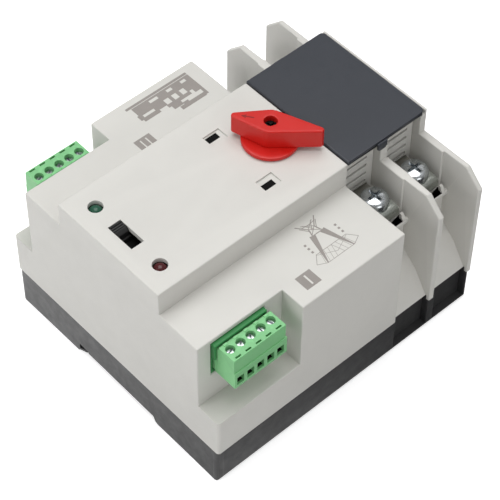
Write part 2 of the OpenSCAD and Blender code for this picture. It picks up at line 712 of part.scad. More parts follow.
module plug() {
  d0 = plug_d0;
  d1 = plug_d1;
  difference() {
    union() {
      blk([d0, d1 + 0.4], [recess_y + 0.3, half_d], [plug_z0, 65.7]);
      blk([d0, d1], [53.8, half_d - 0.5], [65.6, plug_top]);
      blk([head_d0 + 1.2, head_d1 - 1.2], [45.6, recess_y + 1], [58, 65.7]);
      blk([head_d0 + 1.2, head_d1 - 1.2], [45.6, 54], [65, plug_top - 1.2]);
      // rear ridges
      for (i = [0:ways - 1])
        blk([way_d + i * pitch - 0.9, way_d + i * pitch + 0.9], [53.8, 54.8], [plug_top - 1, plug_top + 0.3]);
    }
    for (i = [0:ways - 1]) {
      c = way_d + i * pitch;
      post(c, 57.1, 64, plug_top + 1, 1.95);
      blk([c - 1.75, c + 1.75], [54, half_d + 1], [58.1, 62.6]);
      blk([c - 1.35, c + 1.35], [61.1, 61.9], [66.5, plug_top + 1]);
      // pin socket
      blk([c - 0.8, c + 0.8], [45, 56], [61.7, 63.3]);
    }
  }
}

module plug_a() color([0.5, 0.72, 0.53]) plug();
module plug_b() color([0.5, 0.72, 0.53]) mirror([0, 1, 0]) plug();

// Clamping screws down the wells of one plug
module plug_screws()
  for (i = [0:ways - 1]) difference() {
    post(way_d + i * pitch, 57.1, 64, plug_top - 1.5, 1.9);
    blk([way_d + i * pitch - 3, way_d + i * pitch + 3], [56.75, 57.45], [plug_top - 2.5, plug_top]);
  }

module plug_a_screws() color([0.72, 0.73, 0.75]) plug_screws();
module plug_b_screws() color([0.72, 0.73, 0.75]) mirror([0, 1, 0]) plug_screws();

base();
housing();
cover();
window_lenses();
vent_plates();
busbars();
fixed_contacts();
saddle_clamps();
terminal_screws();
captive_nuts();
housing_screws();
coil_bobbins();
coil_windings();
coil_yokes();
power_board();
display_board();
board_spacers();
relays();
transformer();
plug_headers();
header_pins();
led_green();
led_red();
switch_body();
microswitches();
guide_rods();
knob_bearing();
knob();
knob_screw();
knob_shaft();
pinion();
carriage();
rack();
moving_contacts();
plunger_rod();
flag_plate();
mode_slider();
rail_latch();
latch_spring();
plug_a();
plug_b();
plug_a_screws();
plug_b_screws();
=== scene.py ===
"""Looks for the rail-mounted changeover switch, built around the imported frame."""
import json
import math

import bmesh
import bpy
from mathutils import Matrix, Vector

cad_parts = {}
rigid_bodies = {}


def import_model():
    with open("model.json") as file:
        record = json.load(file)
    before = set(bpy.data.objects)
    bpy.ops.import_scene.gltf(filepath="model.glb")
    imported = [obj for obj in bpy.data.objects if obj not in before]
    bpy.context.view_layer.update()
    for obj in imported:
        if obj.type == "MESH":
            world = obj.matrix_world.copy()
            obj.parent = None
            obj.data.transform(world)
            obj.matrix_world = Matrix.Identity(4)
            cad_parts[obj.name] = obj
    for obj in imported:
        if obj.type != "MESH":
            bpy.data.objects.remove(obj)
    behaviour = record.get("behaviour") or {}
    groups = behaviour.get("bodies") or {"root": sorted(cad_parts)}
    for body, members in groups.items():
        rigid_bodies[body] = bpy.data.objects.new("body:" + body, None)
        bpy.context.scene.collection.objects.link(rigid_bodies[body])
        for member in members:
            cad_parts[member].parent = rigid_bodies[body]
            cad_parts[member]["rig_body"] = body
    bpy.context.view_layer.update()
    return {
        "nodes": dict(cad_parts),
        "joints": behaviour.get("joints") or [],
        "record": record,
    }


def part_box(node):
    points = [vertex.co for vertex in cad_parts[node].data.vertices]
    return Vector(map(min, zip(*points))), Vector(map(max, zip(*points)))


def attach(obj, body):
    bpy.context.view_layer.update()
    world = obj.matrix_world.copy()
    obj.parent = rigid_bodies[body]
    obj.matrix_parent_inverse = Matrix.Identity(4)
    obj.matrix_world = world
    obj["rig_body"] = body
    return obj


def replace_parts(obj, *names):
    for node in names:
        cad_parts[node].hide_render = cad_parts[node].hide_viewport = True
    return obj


bl_info = {
    "name": "Changeover Switch",
    "version": (1, 0, 0),
    "blender": (4, 5, 0),
    "location": "View3D > Sidebar > Switch",
    "description": "Builds the surfaces of a rail-mounted changeover switch around its frame",
    "category": "Object",
}

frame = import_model()
NODES = frame["nodes"]
SLOTS = {s["node"]: s["material_slot"] for s in frame["record"]["subparts"]}
MM = 0.001
HALF_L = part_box("base")[1].x
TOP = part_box("housing")[1].z
DECK = 0.077  # height of the two side decks
FLOOR_GLOW = 0.66  # brightness the camera sees on top of the floor's own light

# places in millimetres: from the control end along the body, and out from its middle line
BAY_CENTRES = (106.75, 129.25)
CLAMP_SCREW_OUT = 36.7
POLES = [11.4 + 5.08 * k for k in range(5)]
POLE_SCREW_OUT = 57.1
LAMP_OUT = 19.0


def along(d_mm):
    """X of a distance in millimetres from the control end."""
    return HALF_L - d_mm * MM


# ---------------------------------------------------------------- settings


def colour(name, text, value):
    return bpy.props.FloatVectorProperty(
        name=name, description=text, default=value, subtype="COLOR", size=3, min=0.0, max=1.0
    )


class SWITCH_PG_finish(bpy.types.PropertyGroup):
    """Colours of the mouldings."""

    housing: colour("Housing", "Pale moulding", (0.66, 0.65, 0.615))
    base: colour("Base", "Dark moulding", (0.040, 0.040, 0.041))
    cover: colour("Cover", "Top plate", (0.024, 0.027, 0.034))
    handle: colour("Handle", "Rotary handle", (0.60, 0.010, 0.006))
    plug: colour("Plug", "Screw connectors", (0.22, 0.57, 0.25))
    header: colour("Header", "Connector sockets", (0.03, 0.22, 0.06))
    ink: colour("Ink", "Printed marks", (0.31, 0.285, 0.265))


class SWITCH_PG_sizes(bpy.types.PropertyGroup):
    """Edge roundings of the pieces."""

    housing_edge: bpy.props.FloatProperty(
        name="Housing edge", description="Edge radius of the pale moulding",
        default=0.0006, min=0.0001, max=0.001, subtype="DISTANCE", unit="LENGTH")
    base_edge: bpy.props.FloatProperty(
        name="Base edge", description="Edge radius of the dark moulding",
        default=0.0006, min=0.0001, max=0.001, subtype="DISTANCE", unit="LENGTH")
    cover_edge: bpy.props.FloatProperty(
        name="Cover edge", description="Edge radius of the top plate",
        default=0.0005, min=0.0001, max=0.0008, subtype="DISTANCE", unit="LENGTH")
    handle_edge: bpy.props.FloatProperty(
        name="Handle edge", description="Edge radius of the handle bar",
        default=0.0007, min=0.0003, max=0.0015, subtype="DISTANCE", unit="LENGTH")


def finish():
    return bpy.context.scene.switch_finish


def sizes():
    return bpy.context.scene.switch_sizes


# --------------------------------------------------------------- materials


def feed(tree, value, socket):
    """Links another node's output to a socket, or sets the socket to a plain value."""
    if isinstance(value, bpy.types.NodeSocket):
        tree.links.new(value, socket)
    elif isinstance(value, tuple):
        socket.default_value = (*value, 1.0)
    else:
        socket.default_value = value


def ramp(tree, fac, low, high, start, end):
    """Maps fac from start..end to low..high."""
    n = tree.nodes.new("ShaderNodeMapRange")
    for name, value in (
        ("From Min", start), ("From Max", end), ("To Min", low), ("To Max", high), ("Value", fac)):
        feed(tree, value, n.inputs[name])
    return n.outputs["Result"]


class Shade:
    """A node material built step by step."""

    def __init__(self, name):
        self.mat = bpy.data.materials.new(name)
        self.mat.use_nodes = True
        self.tree = self.mat.node_tree
        self.bsdf = self.tree.nodes["Principled BSDF"]
        self.coord = self.tree.nodes.new("ShaderNodeTexCoord")

    def node(self, kind, **values):
        """A new node with its settings and inputs set by name."""
        n = self.tree.nodes.new(kind)
        for key, value in values.items():
            if hasattr(n, key):
                setattr(n, key, value)
            else:
                n.inputs[key].default_value = value
        return n

    def link(self, a, b):
        self.tree.links.new(a, b)

    def noise(self, scale, detail=3.0, stretch=None):
        n = self.node("ShaderNodeTexNoise", Scale=scale, Detail=detail)
        place = self.coord.outputs["Object"]
        if stretch:
            mapping = self.tree.nodes.new("ShaderNodeMapping")
            mapping.inputs["Scale"].default_value = stretch
            self.link(place, mapping.inputs["Vector"])
            place = mapping.outputs["Vector"]
        self.link(place, n.inputs["Vector"])
        return n.outputs["Fac"]

    def span(self, fac, low, high, start=0.3, end=0.7):
        return ramp(self.tree, fac, low, high, start, end)

    def mix(self, fac, a, b):
        n = self.node("ShaderNodeMix", data_type="RGBA")
        for value, index in ((fac, 0), (a, 6), (b, 7)):
            feed(self.tree, value, n.inputs[index])
        return n.outputs[2]

    def paint_edge_highlight(self, base, edge):
        """Base colour with the edge colour painted on convex edges: a painted highlight where it is lighter.
        """
        geo = self.tree.nodes.new("ShaderNodeNewGeometry")
        return self.mix(self.span(geo.outputs["Pointiness"], 0.0, 0.5, 0.52, 0.62), base, edge)

    def bump(self, height, distance, strength):
        n = self.node("ShaderNodeBump", Strength=strength, Distance=distance)
        self.link(height, n.inputs["Height"])
        return n.outputs["Normal"]

    def set(self, **values):
        """Sets or links the shader's sockets, named with _ for a space."""
        for key, value in values.items():
            feed(self.tree, value, self.bsdf.inputs[key.replace("_", " ")])
        return self.mat


def scaled(rgb, k):
    return tuple(min(1.0, c * k) for c in rgb)


def moulded(name, rgb, rough=0.42, grain=2200.0, depth=0.00002, edge_highlight=1.25, spread=0.05, shine=0.45):
    """Injection-moulded plastic with a spark-eroded grain, faint mottling and a painted highlight along
    convex edges.
    """
    s = Shade(name)
    tone = s.mix(s.span(s.noise(70.0, 4.0), 0.0, 1.0), scaled(rgb, 1 - spread), scaled(rgb, 1 + spread))
    dust = s.mix(s.span(s.noise(900.0, 2.0), 0.0, 0.25, 0.55, 0.75), tone, scaled(rgb, 1 - 1.6 * spread))
    grain_height = s.noise(grain, 4.0)
    return s.set(
        # convex edges get a painted highlight, lighter than the plastic's own colour
        Base_Color=s.paint_edge_highlight(dust, scaled(rgb, edge_highlight)),
        Roughness=s.span(s.noise(260.0, 4.0), rough - 0.06, rough + 0.07),
        Normal=s.bump(grain_height, depth, 0.7),
        Specular_IOR_Level=shine,
    )


def plated(name, rgb, rough=0.24, brush=(1.0, 1.0, 1.0), depth=0.00001, stain=0.75):
    """Plated or bare metal with fine drag marks and a little staining."""
    s = Shade(name)
    drag = s.noise(2400.0, 3.0, brush)
    cloud = s.span(s.noise(330.0, 5.0), 0.0, 1.0)
    return s.set(
        Base_Color=s.mix(cloud, scaled(rgb, stain), rgb),
        Metallic=1.0,
        Roughness=s.span(drag, rough - 0.07, rough + 0.12),
        Normal=s.bump(drag, depth, 0.6),
    )


def lamp_lens(name, rgb, glow):
    """Tinted epoxy lens with a painted inner glow and moulding haze."""
    s = Shade(name)
    haze = s.noise(1400.0, 3.0)
    return s.set(
        Base_Color=s.mix(s.span(haze, 0.0, 1.0), scaled(rgb, 0.8), rgb),
        Roughness=s.span(haze, 0.12, 0.24),
        Normal=s.bump(haze, 0.00001, 0.4),
        Specular_IOR_Level=0.35,
        Coat_Weight=0.1,
        Coat_Roughness=0.08,
        # painted glow: the lens gives off faint light of its own
        Emission_Color=glow,
        Emission_Strength=0.12,
    )


def wound_wire(name, rgb):
    """Enamelled wire laid in turns around the Y axis, with painted shade in the grooves between turns."""
    s = Shade(name)
    turns = s.node("ShaderNodeTexWave", bands_direction="Y", Scale=420.0, Distortion=0.6)
    s.link(s.coord.outputs["Object"], turns.inputs["Vector"])
    return s.set(
        # painted shade: the low grooves between turns are darker
        Base_Color=s.mix(turns.outputs["Fac"], scaled(rgb, 0.45), rgb),
        Metallic=0.6,
        Roughness=s.span(s.noise(700.0), 0.25, 0.4),
        Normal=s.bump(turns.outputs["Fac"], 0.0002, 0.8),
    )


def laminate(name, rgb):
    """Glass laminate board with a woven ground and copper tracks under the mask."""
    s = Shade(name)
    weave = s.node("ShaderNodeTexBrick", Scale=900.0)
    s.link(s.coord.outputs["Object"], weave.inputs["Vector"])
    tracks = s.noise(160.0, 0.0, (1.0, 4.0, 1.0))
    return s.set(
        Base_Color=s.mix(s.span(tracks, 0.0, 0.5, 0.48, 0.52), rgb, scaled(rgb, 1.8)),
        Roughness=s.span(s.noise(500.0), 0.3, 0.45),
        Normal=s.bump(weave.outputs["Fac"], 0.00002, 0.4),
    )


MATS = {}
OWN_LOOK = {"window_lenses": "window_black", "knob_screw": "shade_metal", "switch_body": "window_black"}


def make_materials():
    f = finish()
    MATS.update(
        light_plastic=moulded(
            "pale_moulding", f.housing, rough=0.46, grain=2300.0, depth=0.00003, edge_highlight=1.08, spread=0.018),
        dark_plastic=moulded(
            "dark_moulding", f.base, rough=0.44, grain=2300.0, depth=0.00004, edge_highlight=1.9, spread=0.06),
        cover_plastic=moulded(
            "cover_moulding", f.cover, rough=0.40, grain=1500.0, depth=0.00005, edge_highlight=2.0, spread=0.06),
        red_plastic=moulded(
            "handle_moulding", f.handle, rough=0.36, grain=1800.0, depth=0.00003, edge_highlight=1.15, spread=0.04),
        # darker red that paints the shade of the engraved pointer arrow
        mark_red=moulded("engraving_shade_moulding", scaled(f.handle, 0.42), rough=0.5, grain=1800.0, edge_highlight=1.1),
        green_plastic=moulded("plug_moulding", f.plug, edge_highlight=1.2, spread=0.04),
        header_plastic=moulded("socket_moulding", f.header, rough=0.45, edge_highlight=1.2),
        black_plastic=moulded("black_moulding", (0.011, 0.011, 0.011), rough=0.40, edge_highlight=2.0, spread=0.08),
        window_black=moulded(
            "window_moulding", (0.004, 0.004, 0.004),
            rough=0.6, depth=0.00001, edge_highlight=1.5, spread=0.08, shine=0.08),
        part_plastic=moulded("component_moulding", (0.03, 0.06, 0.17), rough=0.4, grain=2000.0, edge_highlight=1.3),
        ivory_plastic=moulded(
            "ivory_moulding", (0.66, 0.62, 0.50), rough=0.5, grain=2000.0, edge_highlight=1.05, spread=0.04),
        zinc_steel=plated("zinc_plating", (0.62, 0.65, 0.67), 0.2, depth=0.000004, stain=0.7),
        steel=plated("plain_steel", (0.55, 0.55, 0.57), 0.32),
        copper=plated("bare_copper", (0.78, 0.42, 0.26), 0.32),
        tinned_copper=plated("tin_plating", (0.50, 0.49, 0.45), 0.36),
        silver=plated("contact_silver", (0.82, 0.81, 0.78), 0.3),
        winding=wound_wire("enamelled_wire", (0.60, 0.22, 0.06)),
        board=laminate("board_laminate", (0.02, 0.16, 0.06)),
        lamp_green=lamp_lens("green_lens", (0.022, 0.095, 0.058), (0.01, 0.09, 0.05)),
        lamp_red=lamp_lens("red_lens", (0.075, 0.010, 0.012), (0.08, 0.008, 0.010)),
        shade_metal=plated("shaded_metal", (0.035, 0.038, 0.036), 0.5),
        clamp_metal=plated(
            "clamp_plating", (0.40, 0.42, 0.39), 0.30, brush=(1.0, 3.0, 1.0), depth=0.000003, stain=0.85),
        ink=moulded("printed_ink", f.ink, rough=0.6, grain=3000.0, depth=0.00001, edge_highlight=1.0, spread=0.08),
    )
    for name, obj in NODES.items():
        obj.data.materials.clear()
        obj.data.materials.append(MATS[OWN_LOOK.get(name, SLOTS[name])])


# ------------------------------------------------------------ mesh helpers


def add_object(bm, name, mat, body, sharp=38.0):
    """Turns a bmesh into a piece with smooth faces and sharp edges over an angle."""
    limit = math.radians(sharp)
    for face in bm.faces:
        face.smooth = True
    for edge in bm.edges:
        edge.smooth = len(edge.link_faces) == 2 and edge.calc_face_angle(0.0) < limit
    mesh = bpy.data.meshes.new(name)
    bm.to_mesh(mesh)
    bm.free()
    mesh.materials.append(MATS[mat])
    obj = bpy.data.objects.new(name, mesh)
    bpy.context.scene.collection.objects.link(obj)
    obj.modifiers.new("even_normals", "WEIGHTED_NORMAL").keep_sharp = True
    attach(obj, body)
    return obj


def clean_copy(node):
    """Bmesh of a CAD node with its flat faces joined up."""
    src = NODES[node].data
    bm = bmesh.new()
    verts = [bm.verts.new(v.co) for v in src.vertices]
    for poly in src.polygons:
        bm.faces.new([verts[i] for i in poly.vertices])
    bmesh.ops.remove_doubles(bm, verts=bm.verts, dist=1e-6)
    bmesh.ops.dissolve_degenerate(bm, edges=bm.edges, dist=1e-7)
    bmesh.ops.dissolve_limit(bm, angle_limit=math.radians(0.4), verts=bm.verts, edges=bm.edges)
    bmesh.ops.recalc_face_normals(bm, faces=bm.faces)
    return bm


def round_edges(bm, width, shortest, segments=2, keep=None):
    """Rounds the outward edges that are at least as long as shortest, and that keep lets through."""
    low, high = math.radians(25), math.radians(140)
    chosen = []
    for edge in bm.edges:
        if len(edge.link_faces) != 2 or edge.calc_length() < shortest:
            continue
        if not low < edge.calc_face_angle_signed(0.0) < high:
            continue
        if keep is None or keep(edge):
            chosen.append(edge)
    bmesh.ops.bevel(
        bm, geom=chosen, offset=width, offset_type="OFFSET", segments=segments,
        profile=0.5, affect="EDGES", clamp_overlap=False)
    return bm


def rounded_copy(node, name, width, shortest, segments=2, keep=None, look=None):
    """A piece in the shape of a CAD node with its outer edges rounded."""
    slot = SLOTS[node]
    bm = round_edges(clean_copy(node), width, shortest, segments, keep)
    obj = add_object(bm, name, look or slot, NODES[node]["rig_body"])
    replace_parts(obj, node)


def add_block(bm, low, high, bevel):
    """A block between two corners, with bevelled edges."""
    made = bmesh.ops.create_cube(bm, size=1.0)
    bmesh.ops.scale(bm, vec=high - low, verts=made["verts"])
    bmesh.ops.translate(bm, vec=(high + low) / 2, verts=made["verts"])
    edges = list({e for v in made["verts"] for e in v.link_edges})
    bmesh.ops.bevel(bm, geom=edges, offset=bevel, segments=1, profile=0.5, affect="EDGES")


def circle(bm, centre, radius, z, steps):
    """A ring of points around an upright axis."""
    angles = (2 * math.pi * i / steps for i in range(steps))
    return [
        bm.verts.new((centre[0] + radius * math.cos(a), centre[1] + radius * math.sin(a), z))
        for a in angles]


def skin(bm, rings):
    """Joins each closed ring of points to the next."""
    for a, b in zip(rings, rings[1:]):
        for i in range(len(a)):
            j = (i + 1) % len(a)
            bm.faces.new((a[i], a[j], b[j], b[i]))


def lathe(bm, profile, centre, steps):
    """Turns a profile of radius and height about the upright axis at centre."""
    rings = []
    for r, z in profile:
        on_axis = r < 1e-9
        rings.append([bm.verts.new((*centre, z))] if on_axis else circle(bm, centre, r, z, steps))
    for a, b in zip(rings, rings[1:]):
        for i in range(steps):
            j = (i + 1) % steps
            corners = (a[i % len(a)], a[j % len(a)], b[j % len(b)], b[i % len(b)])
            bm.faces.new(list(dict.fromkeys(corners)))


# --------------------------------------------------------------- operators


class SWITCH_OT_stage(bpy.types.Operator):
    """Camera, lamps, floor and surroundings"""

    bl_idname = "switch.stage"
    bl_label = "Stage"

    def execute(self, context):
        scene = context.scene
        scene.view_settings.view_transform = "Standard"
        self.camera(scene)
        for name, place, size, watts in (
            ("overhead", (-0.10, -0.15, 1.10), (0.9, 0.9), 7.2),
            ("left_side", (1.10, -0.35, 0.60), (0.7, 0.7), 4.3),
            ("right_side", (0.15, 1.25, 0.45), (0.7, 0.6), 2.6)):
            self.lamp(scene, name, Vector(place), size, watts)
        self.surround(scene)
        self.floor(scene)
        return {"FINISHED"}

    @staticmethod
    def camera(scene):
        """Long lens high above one corner, with a slight roll."""
        azimuth, rise, roll = (math.radians(a) for a in (137.196, 50.784, 0.843))
        level = math.cos(rise)
        back = Vector((math.sin(azimuth) * level, -math.cos(azimuth) * level, math.sin(rise)))
        side = (-back).cross(Vector((0, 0, 1))).normalized()
        up = side.cross(-back)
        right = side * math.cos(roll) + up * math.sin(roll)
        top = up * math.cos(roll) - side * math.sin(roll)
        data = bpy.data.cameras.new("view")
        data.sensor_width = 36.0
        data.angle = math.radians(14.658)
        data.clip_start = 0.01
        cam = bpy.data.objects.new("view", data)
        place = (HALF_L + 0.27381, 0.375, 0.65494)
        cam.matrix_world = Matrix.Translation(place) @ Matrix((right, top, back)).transposed().to_4x4()
        scene.collection.objects.link(cam)
        scene.camera = cam

    @staticmethod
    def lamp(scene, name, place, size, watts):
        """Soft rectangular lamp aimed at the middle of the switch."""
        data = bpy.data.lights.new(name, "AREA")
        data.shape = "RECTANGLE"
        data.size, data.size_y = size
        data.energy = watts
        obj = bpy.data.objects.new(name, data)
        obj.location = place
        aim = Vector((0, 0, 0.04)) - place
        obj.rotation_euler = aim.to_track_quat("-Z", "Y").to_euler()
        scene.collection.objects.link(obj)

    @staticmethod
    def surround(scene):
        """White to the camera and behind clear things, brighter overhead for the rest."""
        world = bpy.data.worlds.new("surround")
        scene.world = world
        world.use_nodes = True
        tree = world.node_tree
        background = tree.nodes["Background"]
        background.inputs["Color"].default_value = (1, 1, 1, 1)
        path = tree.nodes.new("ShaderNodeLightPath")
        seen = tree.nodes.new("ShaderNodeMath")
        seen.operation = "MAXIMUM"
        tree.links.new(path.outputs["Is Camera Ray"], seen.inputs[0])
        tree.links.new(path.outputs["Is Transmission Ray"], seen.inputs[1])
        coord = tree.nodes.new("ShaderNodeTexCoord")
        axes = tree.nodes.new("ShaderNodeSeparateXYZ")
        tree.links.new(coord.outputs["Generated"], axes.inputs[0])
        sky = ramp(tree, axes.outputs["Z"], 0.12, 0.46, 0.05, 0.75)
        strength = ramp(tree, seen.outputs[0], sky, 1.0, 0.0, 1.0)
        tree.links.new(strength, background.inputs["Strength"])

    @staticmethod
    def floor(scene):
        """Pale floor, clear when seen from below."""
        bm = bmesh.new()
        bmesh.ops.create_grid(bm, x_segments=8, y_segments=8, size=3.0)
        mesh = bpy.data.meshes.new("floor")
        bm.to_mesh(mesh)
        bm.free()
        floor = bpy.data.objects.new("floor", mesh)
        floor.location = (0, 0, -0.00005)
        scene.collection.objects.link(floor)
        s = Shade("pale_floor")
        new = s.tree.nodes.new
        s.set(
            Base_Color=s.mix(s.span(s.noise(3.0, 2.0), 0.0, 1.0), (0.79, 0.79, 0.79), (0.81, 0.81, 0.81)),
            Roughness=0.9, Specular_IOR_Level=0.1)
        seen = new("ShaderNodeLightPath")
        glow = new("ShaderNodeEmission")
        s.link(s.span(seen.outputs["Is Camera Ray"], 0.0, FLOOR_GLOW, 0.0, 1.0), glow.inputs["Strength"])
        lit = new("ShaderNodeAddShader")
        s.link(s.bsdf.outputs[0], lit.inputs[0])
        s.link(glow.outputs[0], lit.inputs[1])
        # reflections see a floor that is bright in front of the control end and dark on the far side
        place = new("ShaderNodeSeparateXYZ")
        s.link(s.coord.outputs["Object"], place.inputs[0])
        gap = s.node("ShaderNodeMath", operation="SUBTRACT")
        s.link(place.outputs["X"], gap.inputs[0])
        s.link(place.outputs["Y"], gap.inputs[1])
        mirror = new("ShaderNodeEmission")
        s.link(s.span(gap.outputs[0], 0.06, 1.5, -0.12, 0.16), mirror.inputs["Strength"])
        facing = new("ShaderNodeNewGeometry")
        clear = new("ShaderNodeBsdfTransparent")
        shader = lit.outputs[0]
        for chooser, other in (
            (seen.outputs["Is Glossy Ray"], mirror), (facing.outputs["Backfacing"], clear)):
            pick = new("ShaderNodeMixShader")
            s.link(chooser, pick.inputs[0])
            s.link(shader, pick.inputs[1])
            s.link(other.outputs[0], pick.inputs[2])
            shader = pick.outputs[0]
        s.link(shader, s.tree.nodes["Material Output"].inputs["Surface"])
        mesh.materials.append(s.mat)


class SWITCH_OT_mouldings(bpy.types.Operator):
    """Base, housing and cover with rounded edges"""

    bl_idname = "switch.mouldings"
    bl_label = "Mouldings"

    def execute(self, context):
        rounded_copy(
            "housing", "housing_shell", sizes().housing_edge, shortest=0.0045, segments=3,
            keep=self.clear_of_openings)
        rounded_copy("base", "base_shell", sizes().base_edge, shortest=0.006)
        rounded_copy("cover", "cover_plate", sizes().cover_edge, shortest=0.004, segments=3)
        return {"FINISHED"}

    @staticmethod
    def clear_of_openings(edge):
        """Leaves the edges of the two windows and the selector slot square."""
        mid = (edge.verts[0].co + edge.verts[1].co) / 2
        if mid.z < TOP - 3 * MM:
            return True
        d, out = (HALF_L - mid.x) / MM, abs(mid.y) / MM
        window = 63.8 < d < 72.8 and 12 < out < 19
        slot = 6.5 < d < 13.7 and out < 8.5
        return not (window or slot)


class SWITCH_OT_handle(bpy.types.Operator):
    """Pointed rotary handle on its disc"""

    bl_idname = "switch.handle"
    bl_label = "Handle"

    def execute(self, context):
        low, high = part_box("knob")
        joint = next(j for j in frame["joints"] if j["name"] == "knob_turn")
        cx = joint["pos_m"][0]
        edge = sizes().handle_edge
        z_disc, z_bar, z_top = low.z, low.z + 1.8 * MM, high.z - 0.04 * MM

        bm = bmesh.new()
        # nose, middle and tail of the bar
        outline = self.outline((14.5 * MM, 1.4 * MM), (0.0, 6.2 * MM), (-19.9 * MM, 1.4 * MM))
        rings = [
            self.turned(bm, cx, self.inset(outline, 0.35 * MM), z_bar),
            self.turned(bm, cx, outline, z_bar + 0.4 * MM)]
        for k in range(7):
            t = math.radians(90 * k / 6)
            z = z_top - edge * (1 - math.sin(t))
            rings.append(self.turned(bm, cx, self.inset(outline, edge * (1 - math.cos(t))), z))
        bottom, rim = rings[0], rings[-1]
        # flat top around the screw well
        well = 2.7 * MM
        turns = [math.atan2(v.co.y, v.co.x - cx) for v in rim]
        for r, dz in (
            (well + 0.45 * MM, 0.0), (well + 0.12 * MM, -0.12 * MM), (well, -0.45 * MM), (well, -5.1 * MM)):
            rings.append([bm.verts.new((cx + r * math.cos(a), r * math.sin(a), z_top + dz)) for a in turns])
        skin(bm, rings)
        bm.faces.new(list(reversed(bottom)))
        bm.faces.new(rings[-1])
        # disc below the bar with a soft rim
        r = 11.8 * MM
        lathe(bm, (
            (0.0, z_disc), (r - 0.3 * MM, z_disc), (r, z_disc + 0.3 * MM), (r, z_bar - 0.5 * MM),
            (r - 0.15 * MM, z_bar - 0.15 * MM), (r - 0.5 * MM, z_bar), (r - 1.6 * MM, z_bar), (0.0, z_bar)),
            (cx, 0.0), 96)
        bmesh.ops.recalc_face_normals(bm, faces=bm.faces)
        handle = add_object(bm, "handle_bar", "red_plastic", "knob", 30.0)
        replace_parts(handle, "knob")

        # pointer mark, an arrow along the nose, in darker red as painted shade of an engraved arrow
        bm = bmesh.new()
        arrow = ((11.9, 0.0), (9.7, 1.05), (10.0, 0.3), (6.6, 0.3), (6.6, -0.3), (10.0, -0.3), (9.7, -1.05))
        points = [(x * MM, y * MM) for x, y in arrow]
        foot, face = (self.turned(bm, cx, points, z_top + dz) for dz in (-0.05 * MM, 0.03 * MM))
        skin(bm, (foot, face))
        bm.faces.new(face)
        bm.faces.new(list(reversed(foot)))
        bmesh.ops.triangulate(bm, faces=[f for f in bm.faces if len(f.verts) > 4])
        bmesh.ops.recalc_face_normals(bm, faces=bm.faces)
        add_object(bm, "handle_mark", "mark_red", "knob")
        return {"FINISHED"}

    @staticmethod
    def turned(bm, cx, points, z):
        """A ring of the handle's points, turned to its place at rest."""
        turn = math.radians(-54.7)
        c, s = math.cos(turn), math.sin(turn)
        return [bm.verts.new((cx + x * c - y * s, x * s + y * c, z)) for x, y in points]

    @staticmethod
    def outline(nose, middle, tail):
        """Closed outline of three circles on one line, joined by straight flanks."""
        (xa, ra), (xm, rm), (xb, rb) = nose, middle, tail
        to_nose = math.acos((rm - ra) / (xa - xm))
        to_tail = math.pi - math.acos((rm - rb) / (xm - xb))
        full = 2 * math.pi
        runs = []
        for x, r, start, end, steps in (
            (xa, ra, -to_nose, to_nose, 12), (xm, rm, to_nose, to_tail, 8),
            (xb, rb, to_tail, full - to_tail, 12), (xm, rm, full - to_tail, full - to_nose, 8)):
            angles = (start + (end - start) * k / steps for k in range(steps + 1))
            runs.append([(x + r * math.cos(a), r * math.sin(a)) for a in angles])
        points = []
        for run, following in zip(runs, runs[1:] + runs[:1]):
            (x0, y0), (x1, y1) = run[-1], following[0]
            points += run + [(x0 + (x1 - x0) * t, y0 + (y1 - y0) * t) for t in (0.25, 0.5, 0.75)]
        return points

    @staticmethod
    def inset(points, d):
        """Outline moved inwards by d."""
        moved = []
        for i, (x, y) in enumerate(points):
            (x0, y0), (x1, y1) = points[i - 1], points[(i + 1) % len(points)]
            tx, ty = x1 - x0, y1 - y0
            length = math.hypot(tx, ty)
            moved.append((x - ty / length * d, y + tx / length * d))
        return moved


